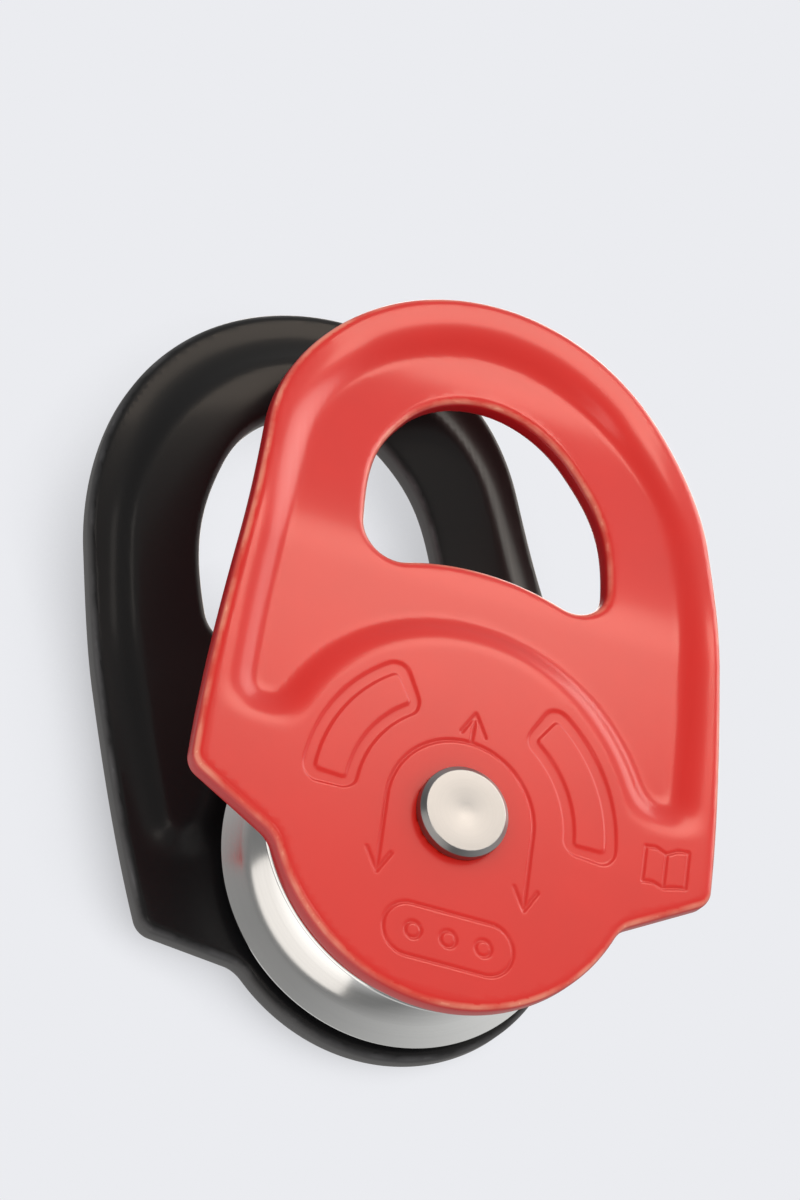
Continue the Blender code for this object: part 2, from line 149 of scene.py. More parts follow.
def anodisedAluminium(name, finish):
    material, tree, shader = newMaterial(name)
    place = addNode(tree, "ShaderNodeTexCoord").outputs["Object"]
    drift = addNode(tree, "ShaderNodeTexNoise", {"Scale": perMm(anodised["driftMm"]), "Detail": 3.0},
                    {"Vector": place})
    grain = addNode(tree, "ShaderNodeTexNoise", {"Scale": perMm(anodised["grainMm"]), "Detail": 2.0},
                    {"Vector": place})
    rubs = addNode(tree, "ShaderNodeTexNoise", {"Scale": perMm(anodised["rubMm"]), "Detail": 4.0},
                   {"Vector": place})
    low, high = anodised["rubNoise"]
    uneven = addNode(tree, "ShaderNodeMapRange",
                     {"From Min": low, "From Max": high, "To Min": anodised["rubLeast"]},
                     {"Value": rubs.outputs["Fac"]})
    # pale line along each edge's crest: partly rubbed dye, partly a painted highlight
    rim = addNode(tree, "ShaderNodeAttribute", {"attribute_name": "rimWearAndHighlight"})
    wearAndHighlight = addNode(tree, "ShaderNodeMath", {"operation": "MULTIPLY"},
                   {0: rim.outputs["Fac"], 1: uneven.outputs["Result"]})
    share = addNode(tree, "ShaderNodeMath", {"operation": "MULTIPLY", 1: finish["wearAndHighlight"]},
                    {0: wearAndHighlight.outputs[0]})
    base = hexColour(finish["hex"])
    deep, pale = anodised["drift"]
    dye = addNode(tree, "ShaderNodeMix", {"data_type": "RGBA", 6: tinted(base, deep), 7: tinted(base, pale)},
                  {0: drift.outputs["Fac"]})
    # painted shading on the side walls: darker on the red plate, lighter on the black
    edge = addNode(tree, "ShaderNodeAttribute", {"attribute_name": "rimEdgeShading"})
    sides = addNode(tree, "ShaderNodeMix", {"data_type": "RGBA", 7: hexColour(finish["edgeShadingHex"])},
                    {0: edge.outputs["Fac"], 6: dye.outputs[2]})
    colour = addNode(tree, "ShaderNodeMix", {"data_type": "RGBA", 7: hexColour(finish["wornAndHighlightHex"])},
                     {0: share.outputs[0], 6: sides.outputs[2]})
    smoother, rougher = anodised["grainGloss"]
    gloss = addNode(tree, "ShaderNodeMapRange",
                    {"To Min": finish["roughness"] + smoother, "To Max": finish["roughness"] + rougher},
                    {"Value": grain.outputs["Fac"]})
    bump = addNode(tree, "ShaderNodeBump",
                   {"Strength": anodised["grainBump"], "Distance": anodised["grainDepth"] * mm},
                   {"Height": grain.outputs["Fac"]})
    shader.inputs["Specular IOR Level"].default_value = finish["specular"]
    shader.inputs["Coat Weight"].default_value = finish["seal"]
    shader.inputs["Coat Roughness"].default_value = anodised["sealGloss"]
    tree.links.new(colour.outputs[2], shader.inputs["Base Color"])
    tree.links.new(gloss.outputs["Result"], shader.inputs["Roughness"])
    tree.links.new(bump.outputs["Normal"], shader.inputs["Normal"])
    return material


turned = {  # turned on a lathe: fine rings about the axle, from the tool's feed
    "lineTint": 0.92,
    "lineBump": 0.35,
    "stainMm": 9.0,              # handling leaves patches a little brighter or duller
    "stainGloss": 0.04,
}
metals = {  # line is the spacing of the rings and depth their height, in millimetres
    # bright and nearly mirror-like, with soft streaks round the groove
    "polishedTurnedAluminium": {"hex": "#e6e8ea", "roughness": 0.17, "line": 0.25, "depth": 0.004},
    # greyer and softer, so that the flat head looks satin
    "turnedStainlessSteel": {"hex": "#999a9c", "roughness": 0.3, "line": 0.18, "depth": 0.006},
    # ground hard steel, the smoothest of them
    "groundBearingSteel": {"hex": "#c2c4c6", "roughness": 0.16, "line": 0.12, "depth": 0.002},
    # a warm yellow-brown metal with tool lines
    "machinedBronze": {"hex": "#b98a52", "roughness": 0.3, "line": 0.2, "depth": 0.004},
}


def turnedMetal(name):
    metal = metals[name]
    material, tree, shader = newMaterial(name)
    place = addNode(tree, "ShaderNodeTexCoord").outputs["Object"]
    centred = addNode(tree, "ShaderNodeVectorMath", {"operation": "SUBTRACT", 1: axlePoint}, {0: place})
    parts = addNode(tree, "ShaderNodeSeparateXYZ", None, {0: centred.outputs[0]})
    flat = addNode(tree, "ShaderNodeCombineXYZ", None, {0: parts.outputs[0], 1: parts.outputs[2]})
    radius = addNode(tree, "ShaderNodeVectorMath", {"operation": "LENGTH"}, {0: flat.outputs[0]})
    rings = addNode(tree, "ShaderNodeCombineXYZ", None, {0: radius.outputs["Value"], 1: parts.outputs[1]})
    lines = addNode(tree, "ShaderNodeTexNoise", {"Scale": perMm(metal["line"]), "Detail": 3.0},
                    {"Vector": rings.outputs[0]})
    stain = addNode(tree, "ShaderNodeTexNoise", {"Scale": perMm(turned["stainMm"]), "Detail": 3.0},
                    {"Vector": place})
    base = hexColour(metal["hex"])
    colour = addNode(tree, "ShaderNodeMix",
                     {"data_type": "RGBA", 6: tinted(base, turned["lineTint"]), 7: base},
                     {0: lines.outputs["Fac"]})
    gloss = addNode(tree, "ShaderNodeMapRange",
                    {"To Min": metal["roughness"] - turned["stainGloss"],
                     "To Max": metal["roughness"] + turned["stainGloss"]},
                    {"Value": stain.outputs["Fac"]})
    bump = addNode(tree, "ShaderNodeBump", {"Strength": turned["lineBump"], "Distance": metal["depth"] * mm},
                   {"Height": lines.outputs["Fac"]})
    shader.inputs["Metallic"].default_value = 1.0
    tree.links.new(colour.outputs[2], shader.inputs["Base Color"])
    tree.links.new(gloss.outputs["Result"], shader.inputs["Roughness"])
    tree.links.new(bump.outputs["Normal"], shader.inputs["Normal"])
    return material


plastics = {  # moulded: matt, with a fine mould grain whose size is in millimetres
    # undyed nylon, a dull cream
    "mouldedCageNylon": {"hex": "#c9bd97", "roughness": 0.5, "grain": 0.6},
    # black rubber that takes almost no highlight
    "mouldedSealRubber": {"hex": "#17181a", "roughness": 0.6, "grain": 0.4},
}
moulded = {
    "grainTint": 0.85,
    "grainBump": 0.2,
    "grainDepth": 0.03,
}


def mouldedPlastic(name):
    plastic = plastics[name]
    material, tree, shader = newMaterial(name)
    place = addNode(tree, "ShaderNodeTexCoord").outputs["Object"]
    grain = addNode(tree, "ShaderNodeTexNoise", {"Scale": perMm(plastic["grain"]), "Detail": 4.0},
                    {"Vector": place})
    base = hexColour(plastic["hex"])
    colour = addNode(tree, "ShaderNodeMix",
                     {"data_type": "RGBA", 6: tinted(base, moulded["grainTint"]), 7: base},
                     {0: grain.outputs["Fac"]})
    bump = addNode(tree, "ShaderNodeBump",
                   {"Strength": moulded["grainBump"], "Distance": moulded["grainDepth"] * mm},
                   {"Height": grain.outputs["Fac"]})
    shader.inputs["Roughness"].default_value = plastic["roughness"]
    tree.links.new(colour.outputs[2], shader.inputs["Base Color"])
    tree.links.new(bump.outputs["Normal"], shader.inputs["Normal"])
    return material


redAnodised = anodisedAluminium("redAnodisedAluminium", redFinish)
blackAnodised = anodisedAluminium("blackAnodisedAluminium", blackFinish)
polishedAluminium = turnedMetal("polishedTurnedAluminium")
stainlessSteel = turnedMetal("turnedStainlessSteel")
bearingSteel = turnedMetal("groundBearingSteel")
bushBronze = turnedMetal("machinedBronze")
cageNylon = mouldedPlastic("mouldedCageNylon")
sealRubber = mouldedPlastic("mouldedSealRubber")
print("materials made")


plate = {  # millimetres, x to the right and z up from the axle
    "thickness": 4.0,
    "innerFace": 10.4,          # from the middle of the pulley, at the axle
    "edgeRound": 1.25,
    "footRadius": 26.5,
    "halfWidth": 37.3,
    "earRadius": 3.0,
    "earZ": -0.7,
    "shoulderSlope": 29.0,
    "shoulderFillet": 5.0,
    "crownRadius": 33.3,
    "crownZ": 47.7,
    "crownStart": 6.0,
    "sideReach": (17.0, 17.0),
    "eyeRadius": 15.4,
    "eyeZ": 50.0,
    "eyeStart": 38.0,
    "eyeHalfWidth": 18.1,
    "eyeSillRadius": 36.9,
    "eyeLobeRadius": 5.0,
    "eyeSideReach": (9.0, 8.0),
    "boreRadius": 5.85,
    "pocketDepth": 1.6,
    "pocketWall": 5.2,
    "pocketGapZ": (5.0, 12.0, 25.0, 40.0, 50.0, 60.0, 68.0, 81.0),
    "pocketGap": (6.9, 6.6, 6.1, 5.8, 6.0, 7.2, 8.3, 8.4),  # from the rim to the pocket's floor
    "pocketGapEase": 6.0,       # the gap is averaged over this much each way, so no crease shows
    "pocketBossRadius": 28.3,
    "pocketBossWall": 4.2,
    "pocketCurve": 2.3,         # how late the wall steepens, from its crest down to its foot
    "pocketFootRound": 0.2,     # share of the wall that its foot rounds off
    "pocketFootZ": 9.6,
    "cornerBlend": 0.9,         # rounds the pocket's corners, as a share of the wall
    "joggleDepth": 7.2,
    "joggleZ": (32.0, 70.0),
    "grid": 0.9,                # size of the faces that carry the pressed shape
    "quickGrid": 1.8,
    "gridShift": 0.03,          # keeps the cuts off the blank's own corners
    "weld": 0.002,
    "flatAngle": 0.05,          # degrees
    "boreSides": 96,
    "rimWearAndHighlightIn": 0.37,          # a pale line along the crest of each rounded edge: the dye rubbed thin, together with a painted highlight
    "rimWearAndHighlightWidth": 0.18,
    "rimWearAndHighlightBand": 0.7,         # how far down the edge the worn and highlighted line reaches
    # how far in from the rim the side wall's painted shading reaches (darker on the red plate, lighter on
    # the black)
    "rimEdgeShadingIn": 0.4,
}


def arcPoints(centre, radius, start, end, count):
    angles = np.radians(np.linspace(start, end, count, endpoint=False))
    return [(centre[0] + radius * math.cos(a), centre[1] + radius * math.sin(a)) for a in angles]


def sidePoints(lowX, lowZ, centre, radius, start, reach, count):
    # a side that leaves (lowX, lowZ) upright and runs into a round top at the angle start
    turn = math.radians(start)
    along = np.array((-math.sin(turn), math.cos(turn)))
    top = np.array(centre) + radius * np.array((math.cos(turn), math.sin(turn)))
    low = np.array((lowX, lowZ))
    handles = (low, low + (0.0, reach[0]), top - reach[1] * along, top)
    points = []
    for t in np.linspace(0.0, 1.0, count, endpoint=False):
        weights = ((1 - t) ** 3, 3 * t * (1 - t) ** 2, 3 * t * t * (1 - t), t ** 3)
        points.append(tuple(sum(w * h for w, h in zip(weights, handles))))
    return points


def mirrorHalf(right):
    # closes a right-hand half, from bottom centre to top centre, with its mirror image
    return right + [(-x, z) for x, z in reversed(right[1:-1])]


def plateOutline():
    slope = math.radians(plate["shoulderSlope"])
    along = np.array((math.cos(slope), math.sin(slope)))
    out = np.array((math.sin(slope), -math.cos(slope)))
    ear = np.array((plate["halfWidth"] - plate["earRadius"], plate["earZ"]))
    start = ear + (plate["earRadius"] + plate["shoulderFillet"]) * out
    reach = plate["footRadius"] + plate["shoulderFillet"]
    b = start @ along
    fillet = start + (math.sqrt(b * b - start @ start + reach ** 2) - b) * along
    footEnd = math.degrees(math.atan2(fillet[1], fillet[0]))
    right = arcPoints((0, 0), plate["footRadius"], -90.0, footEnd, 40)
    right += arcPoints(fillet, plate["shoulderFillet"], footEnd + 180.0, 90.0 + plate["shoulderSlope"], 8)
    right += arcPoints(ear, plate["earRadius"], plate["shoulderSlope"] - 90.0, 0.0, 12)
    right += sidePoints(plate["halfWidth"], plate["earZ"], (0, plate["crownZ"]), plate["crownRadius"],
                        plate["crownStart"], plate["sideReach"], 44)
    right += arcPoints((0, plate["crownZ"]), plate["crownRadius"], plate["crownStart"], 90.0, 44)
    right.append((0.0, plate["crownZ"] + plate["crownRadius"]))
    return mirrorHalf(right)


def eyeOutline():
    lobeX = plate["eyeHalfWidth"] - plate["eyeLobeRadius"]
    lobe = (lobeX, math.sqrt((plate["eyeSillRadius"] + plate["eyeLobeRadius"]) ** 2 - lobeX ** 2))
    sillEnd = math.degrees(math.atan2(lobe[1], lobe[0]))
    right = arcPoints((0, 0), plate["eyeSillRadius"], 90.0, sillEnd, 10)
    right += arcPoints(lobe, plate["eyeLobeRadius"], sillEnd - 180.0, 0.0, 14)
    right += sidePoints(plate["eyeHalfWidth"], lobe[1], (0, plate["eyeZ"]), plate["eyeRadius"],
                        plate["eyeStart"], plate["eyeSideReach"], 18)
    right += arcPoints((0, plate["eyeZ"]), plate["eyeRadius"], plate["eyeStart"], 90.0, 18)
    right.append((0.0, plate["eyeZ"] + plate["eyeRadius"]))
    return mirrorHalf(right)


outlineLoop = np.array(plateOutline())
eyeLoop = np.array(eyeOutline())


def distanceToPath(spots, path, closed=False):
    # shortest distance from each spot (x, z) to a path of straight runs
    path = np.asarray(path, float)
    ends = np.roll(path, -1, axis=0) if closed else path[1:]
    starts = path if closed else path[:-1]
    best = np.full(len(spots), 1e9)
    for a, b in zip(starts, ends):
        run = b - a
        t = np.clip(((spots - a) @ run) / max(run @ run, 1e-12), 0.0, 1.0)
        best = np.minimum(best, np.linalg.norm(spots - a - t[:, None] * run, axis=1))
    return best


def smoothLower(a, b, blend):
    # the lower of two values, rounded where they cross
    share = np.clip(0.5 + 0.5 * (b - a) / blend, 0.0, 1.0)
    return b * (1 - share) + a * share - blend * share * (1 - share)


def roundedRamp(t, foot, crest):
    # rises from 0 to 1 with a rounded start and a rounded end
    t = np.clip(t, 0.0, 1.0)
    area = 1.0 - (foot + crest) / 2
    low = np.where(t < foot, t * t / (2 * max(foot, 1e-6)), t - foot / 2)
    over = np.clip(t - (1 - crest), 0.0, None)
    return (low - over * over / (2 * max(crest, 1e-6))) / area


def setBack(spots):
    # how far the pressing sets the sheet back towards the other plate, in millimetres
    x, z = spots[:, 0], spots[:, 1]
    rise = np.clip((z - plate["joggleZ"][0]) / (plate["joggleZ"][1] - plate["joggleZ"][0]), 0.0, 1.0)
    joggle = plate["joggleDepth"] * rise * rise * (3 - 2 * rise)
    gap = np.mean([np.interp(z + away, plate["pocketGapZ"], plate["pocketGap"])
                   for away in np.linspace(-plate["pocketGapEase"], plate["pocketGapEase"], 13)], axis=0)
    fromRim = 1.0 + (distanceToPath(spots, outlineLoop, closed=True) - gap) / plate["pocketWall"]
    fromBoss = 1.0 + (np.hypot(x, z) - plate["pocketBossRadius"]) / plate["pocketBossWall"]
    fromEars = 1.0 + (z - plate["pocketFootZ"]) / plate["pocketBossWall"]
    blend = plate["cornerBlend"]
    reach = smoothLower(smoothLower(fromRim, fromBoss, blend), fromEars, blend)
    wall = roundedRamp(reach, 0.0, plate["pocketFootRound"]) ** plate["pocketCurve"]
    return joggle + plate["pocketDepth"] * wall


marks = {  # millimetres from the axle; lines are stamped, windows are a shallow channel round an island
    "lineHalfWidth": 0.36,
    "lineDepth": 0.2,
    "wallWidth": 0.45,
    "windowDepth": 0.22,
    "windowOuter": (18.75, 3.85, 32.0, 2.2),         # radius, half width, half angle, corner
    "windowInner": (18.7, 2.2, 27.0, 0.6),
    "windowAngle": (28.0, 30.0),                     # of the right window and the left one
    "bendRadius": 10.5,
    "bendLeg": 10.8,
    "barb": (1.7, 3.0),
    "plaque": (0.6, -17.4, 9.2, 3.6, 3.6),           # centre x and z, half width, half height, corner
    "plaqueDots": (-5.0, 0.0, 5.0),
    "plaqueDotRadius": 1.1,
    "arrowFoot": 0.2,                                # the upward arrow's x at its foot and at its tip
    "arrowTip": 0.4,
    "arrowLength": 4.3,
    "spine": ((29.9, 2.6), (29.9, -2.3)),            # the booklet's spine and its two pages
    "leftPage": ((28.3, 3.2), (26.8, 3.0), (26.8, -2.0), (28.3, -1.8)),
    "rightPage": ((31.5, 3.5), (33.1, 3.7), (33.1, -1.5), (31.5, -1.8)),
    "farthest": 34.5,                                # no mark lies farther from the axle or higher
    "highest": 24.5,
    "fineReach": 0.75,                               # the mesh is finest this near to a stamped edge
}


def bandDistance(spots, radius, halfWidth, halfAngle, corner):
    # signed distance to the two curved windows about the axle, negative inside them
    angle = np.where(spots[:, 0] > 0, marks["windowAngle"][0], marks["windowAngle"][1])
    side = np.abs(np.degrees(np.arctan2(spots[:, 1], np.abs(spots[:, 0]))) - angle)
    along = np.radians(side) * radius - math.radians(halfAngle) * radius + corner
    across = np.abs(np.hypot(spots[:, 0], spots[:, 1]) - radius) - halfWidth + corner
    outside = np.hypot(np.maximum(along, 0), np.maximum(across, 0))
    return outside + np.minimum(np.maximum(along, across), 0) - corner


def plaqueDistance(spots):
    # signed distance to the blank plaque's outline
    x, z, halfWidth, halfHeight, corner = marks["plaque"]
    across = np.abs(spots[:, 0] - x) - halfWidth + corner
    up = np.abs(spots[:, 1] - z) - halfHeight + corner
    outside = np.hypot(np.maximum(across, 0), np.maximum(up, 0))
    return outside + np.minimum(np.maximum(across, up), 0) - corner


def arrowHead(tipX, tipZ, way):
    # the two barbs of an arrow whose tip points up (way 1) or down (way -1)
    spread, back = marks["barb"]
    return [(tipX - spread, tipZ - way * back), (tipX, tipZ), (tipX + spread, tipZ - way * back)]


def markLines():
    # every stamped line: the rope's bend round the sheave with its arrows, and the open booklet
    radius, leg = marks["bendRadius"], marks["bendLeg"]
    bend = [(radius, -leg)] + arcPoints((0, 0), radius, 0.0, 180.0, 48) + [(-radius, 0.0), (-radius, -leg)]
    lines = [bend, arrowHead(-radius, -leg, -1), arrowHead(radius, -leg, -1)]
    tip = (marks["arrowTip"], radius + marks["arrowLength"])
    lines += [[(marks["arrowFoot"], radius), tip], arrowHead(*tip, 1)]
    spine = marks["spine"]
    pages = [[spine[0], *marks[page], spine[1]] for page in ("leftPage", "rightPage")]
    return lines + [spine] + pages


def lineDistance(spots):
    # distance to the nearest stamped line
    best = np.abs(plaqueDistance(spots))
    for dot in marks["plaqueDots"]:
        centre = (marks["plaque"][0] + dot, marks["plaque"][1])
        away = np.hypot(spots[:, 0] - centre[0], spots[:, 1] - centre[1])
        best = np.minimum(best, np.abs(away - marks["plaqueDotRadius"]))
    for line in markLines():
        best = np.minimum(best, distanceToPath(spots, line))
    return best


def markDistance(spots):
    # distance to the nearest stamped edge, for choosing where the mesh is made finer
    windows = np.minimum(np.abs(bandDistance(spots, *marks["windowOuter"])),
                         np.abs(bandDistance(spots, *marks["windowInner"])))
    return np.minimum(windows, lineDistance(spots))


def markDepth(spots):
    # how deep the stamping is at each spot, in millimetres
    near = np.clip(lineDistance(spots) / marks["lineHalfWidth"], 0.0, 1.0)
    line = marks["lineDepth"] * 0.5 * (1 + np.cos(math.pi * near))
    half = marks["wallWidth"] / 2
    into = roundedRamp((half - bandDistance(spots, *marks["windowOuter"])) / (2 * half), 0.5, 0.5)
    island = roundedRamp((half - bandDistance(spots, *marks["windowInner"])) / (2 * half), 0.5, 0.5)
    return line + marks["windowDepth"] * into * (1 - island)


def drawLoop(curve, points):
    # one closed outline of the flat blank
    spline = curve.splines.new("POLY")
    spline.points.add(len(points) - 1)
    for spot, (x, z) in zip(spline.points, points):
        spot.co = (x * mm, z * mm, 0.0, 1.0)
    spline.use_cyclic_u = True


def gridCuts(low, high):
    # where the blank is cut across, from low to high
    step = plate["grid"]
    return np.arange(math.ceil(low / step) * step + plate["gridShift"], high, step)


def faceCentres(mesh):
    centres = np.empty(len(mesh.polygons) * 3)
    normals = np.empty(len(mesh.polygons) * 3)
    mesh.polygons.foreach_get("center", centres)
    mesh.polygons.foreach_get("normal", normals)
    return centres.reshape(-1, 3), normals.reshape(-1, 3)


def refineMarks(blank, reach, cuts):
    # subdivides the outer face near the stamped marks
    centres, normals = faceCentres(blank.data)
    spots = centres[:, :2] / mm
    chosen = (normals[:, 2] > 0.99) & (np.hypot(spots[:, 0], spots[:, 1]) < marks["farthest"])
    chosen &= spots[:, 1] < marks["highest"]
    chosen[chosen] = markDistance(spots[chosen]) < reach
    bpy.ops.object.mode_set(mode="EDIT")
    bpy.ops.mesh.select_mode(type="FACE")
    bpy.ops.mesh.select_all(action="DESELECT")
    bpy.ops.object.mode_set(mode="OBJECT")
    blank.data.polygons.foreach_set("select", chosen)
    bpy.ops.object.mode_set(mode="EDIT")
    bpy.ops.mesh.subdivide(number_cuts=cuts, quadcorner="INNERVERT")
    bpy.ops.object.mode_set(mode="OBJECT")


def plateBlank():
    # the flat blank: outline and eye with rolled edges, bored, and cut into small faces
    curve = bpy.data.curves.new("plateBlank", "CURVE")
    curve.dimensions = "2D"
    curve.fill_mode = "BOTH"
    drawLoop(curve, outlineLoop)
    drawLoop(curve, eyeLoop)
    roundMm = plate["edgeRound"]
    curve.extrude = (plate["thickness"] / 2 - roundMm) * mm
    curve.bevel_depth = roundMm * mm
    curve.bevel_resolution = 4
    curve.offset = -roundMm * mm
    blank = bpy.data.objects.new("plateBlank", curve)
    bpy.context.collection.objects.link(blank)
    makeActive(blank)
    bpy.ops.object.convert(target="MESH")
    blank = bpy.context.object
    bpy.ops.object.mode_set(mode="EDIT")
    bpy.ops.mesh.select_all(action="SELECT")
    bpy.ops.mesh.remove_doubles(threshold=plate["weld"] * mm)
    bpy.ops.object.mode_set(mode="OBJECT")
    clearSelection()
    bpy.ops.mesh.primitive_cylinder_add(vertices=plate["boreSides"], radius=plate["boreRadius"] * mm,
                                        depth=3 * plate["thickness"] * mm)
    drill = bpy.context.object
    makeActive(blank)
    cut = blank.modifiers.new("bore", "BOOLEAN")
    cut.object = drill
    bpy.ops.object.modifier_apply(modifier=cut.name)
    bpy.data.objects.remove(drill)
    bpy.ops.object.mode_set(mode="EDIT")
    bpy.ops.mesh.select_all(action="SELECT")
    # the fill's long thin faces are joined again, so that the cuts leave even cells
    bpy.ops.mesh.dissolve_limited(angle_limit=math.radians(plate["flatAngle"]), delimit=set())
    for axis, low, high in ((0, -plate["halfWidth"], plate["halfWidth"]),
                            (1, -plate["footRadius"], plate["crownZ"] + plate["crownRadius"])):
        direction = tuple(float(k == axis) for k in range(3))
        for value in gridCuts(low, high):
            bpy.ops.mesh.select_all(action="SELECT")
            bpy.ops.mesh.bisect(plane_co=tuple(value * mm * k for k in direction), plane_no=direction)
    bpy.ops.object.mode_set(mode="OBJECT")
    refineMarks(blank, 2 * marks["fineReach"], 2)
    refineMarks(blank, marks["fineReach"], 1)
    print("plate blank", len(blank.data.polygons), "faces")
    return blank


def layPiece(piece, material, body, node):
    # gives a finished piece its material and its body, and hides the CAD node that it stands for
    piece.data.materials.clear()
    piece.data.materials.append(material)
    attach(piece, body)
    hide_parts(node)


def pressPlate(blank, name, side, material, node, body, swing=0.0):
    # presses a copy of the blank; side is -1 for the front plate and 1 for the rear one
    makeActive(blank)
    bpy.ops.object.duplicate()
    pressed = bpy.context.object
    pressed.name = pressed.data.name = name
    mesh = pressed.data
    places = np.empty(len(mesh.vertices) * 3)
    mesh.vertices.foreach_get("co", places)
    places = places.reshape(-1, 3) / mm
    spots, height = places[:, :2], places[:, 2]
    rimAway = np.minimum(distanceToPath(spots, outlineLoop, True), distanceToPath(spots, eyeLoop, True))
    half = plate["thickness"] / 2
    stamped = np.zeros(len(spots))
    outer = (height > half - 0.02) & (spots[:, 1] < marks["highest"] + 0.5)
    stamped[outer] = markDepth(spots[outer])
    level = plate["innerFace"] + half + height - setBack(spots) - stamped
    placed = np.stack([spots[:, 0], side * level, spots[:, 1]], axis=1) * mm + np.array(axlePoint)
    mesh.vertices.foreach_set("co", placed.ravel())
    # painted shading of the rim's side wall
    edge = mesh.attributes.new("rimEdgeShading", "FLOAT", "POINT")
    edge.data.foreach_set("value", np.clip(1.0 - rimAway / plate["rimEdgeShadingIn"], 0.0, 1.0).astype(np.float32))
    # a pale line along each edge's crest: rubbed dye with a painted highlight
    wearAndHighlightLayer = mesh.attributes.new("rimWearAndHighlight", "FLOAT", "POINT")
    wearAndHighlight = np.exp(-((rimAway - plate["rimWearAndHighlightIn"]) / plate["rimWearAndHighlightWidth"]) ** 2)
    wearAndHighlight[np.abs(height) < half - plate["rimWearAndHighlightBand"]] = 0.0
    wearAndHighlightLayer.data.foreach_set("value", wearAndHighlight.astype(np.float32))
    mesh.update()
    bpy.ops.object.mode_set(mode="EDIT")
    bpy.ops.mesh.select_all(action="SELECT")
    if side > 0:
        bpy.ops.mesh.flip_normals()
    bpy.ops.object.mode_set(mode="OBJECT")
    if swing:
        pressed.data.transform(Matrix.Translation(axlePoint) @ Matrix.Rotation(swing, 4, "Y")
                               @ Matrix.Translation(-axlePoint))
    bpy.ops.object.shade_smooth()
    layPiece(pressed, material, body, node)


def rearSwing():
    # the rear plate's swing at rest, from where its CAD node's far end lies
    node = frame["nodes"]["rear_side_plate"]
    points = np.array([v.co for v in node.data.vertices]) - np.array(axlePoint)
    far = points[np.hypot(points[:, 0], points[:, 2]).argmax()]
    return math.atan2(far[0], far[2])


blank = plateBlank()
pressPlate(blank, "frontPlate", -1, redAnodised, "front_side_plate", "front_side")
pressPlate(blank, "rearPlate", 1, blackAnodised, "rear_side_plate", "rear_side",
           rearSwing())
bpy.data.objects.remove(blank)
print("plates pressed, rear swing", round(math.degrees(rearSwing()), 2))


turnedWeld = 0.001  # millimetres


def turnProfile(name, profile, steps, material, node, body, closed=True, crease=32.0):
    # spins a profile of (radius, y) in millimetres about the axle
    mesh = bpy.data.meshes.new(name)
    runs = [(i, i + 1) for i in range(len(profile) - 1)]
    if closed:
        runs.append((len(profile) - 1, 0))
    mesh.from_pydata([(r * mm, y * mm, axleZ) for r, y in profile], runs, [])
    piece = bpy.data.objects.new(name, mesh)
    bpy.context.collection.objects.link(piece)
    makeActive(piece)
    bpy.ops.object.mode_set(mode="EDIT")
    bpy.ops.mesh.select_all(action="SELECT")
    bpy.ops.mesh.spin(steps=steps, angle=math.tau, center=axlePoint, axis=(0.0, 1.0, 0.0))
    bpy.ops.mesh.select_all(action="SELECT")
    bpy.ops.mesh.remove_doubles(threshold=turnedWeld * mm)
    bpy.ops.mesh.normals_make_consistent(inside=False)
    bpy.ops.object.mode_set(mode="OBJECT")
    bpy.ops.object.shade_smooth_by_angle(angle=math.radians(crease))
    layPiece(piece, material, body, node)


def roundCorner(centre, radius, start, end, count=6):
    # points of a rounded corner in (radius, y)
    angles = np.radians(np.linspace(start, end, count))
    return [(centre[0] + radius * math.cos(a), centre[1] + radius * math.sin(a)) for a in angles]


sheaveSize = {
    "radius": 25.4,
    "halfWidth": 8.5,
    "treadRadius": 19.0,
    "grooveRadius": 7.6,
    "grooveAngle": 62.0,
    "lip": 0.42,
    "seatRadius": 13.0,
    "seatChamfer": 0.3,
    "ribHalf": 0.5,
    "ribRadius": 11.4,
    "steps": 192,               # round the axle
}


def sheaveProfile():
    # rounded rims, a round rope groove, and a bore with a rib between the two bearings
    grooveRadius = sheaveSize["grooveRadius"]
    centre = sheaveSize["treadRadius"] + grooveRadius
    sweep = np.radians(np.linspace(-sheaveSize["grooveAngle"], sheaveSize["grooveAngle"], 41))
    groove = [(centre - grooveRadius * math.cos(a), grooveRadius * math.sin(a)) for a in sweep]
    lip, half = sheaveSize["lip"], sheaveSize["halfWidth"]
    tip = sheaveSize["radius"] - lip
    seat, chamfer = sheaveSize["seatRadius"], sheaveSize["seatChamfer"]
    front = [(seat + chamfer, -half), (tip - 0.6, -half)]
    front += roundCorner((tip, -half + lip), lip, -90.0, 20.0)
    back = [(r, -y) for r, y in reversed(front)]
    rib, ribHalf = sheaveSize["ribRadius"], sheaveSize["ribHalf"]
    bore = [(seat, half - chamfer), (seat, ribHalf), (rib, ribHalf),
            (rib, -ribHalf), (seat, -ribHalf), (seat, -half + chamfer)]
    return front + groove + back + bore


turnProfile("sheaveWheel", sheaveProfile(), sheaveSize["steps"], polishedAluminium, "sheave", "sheave_set")

axleSize = {
    "shankRadius": 5.0,
    "headRadius": 6.3,
    "faceRadius": 5.62,
    "headStart": 14.55,
    "headEnd": 16.5,
    "chamferHeight": 0.62,
    "dimpleRadius": 0.9,
    "dimpleDepth": 0.04,
    "spigotRadius": 3.5,
    "plateOuter": 14.4,
    "rivetClearance": 0.1,
    "rivetLead": 0.2,           # chamfer at the rear head's hole
    "steps": 128,
}


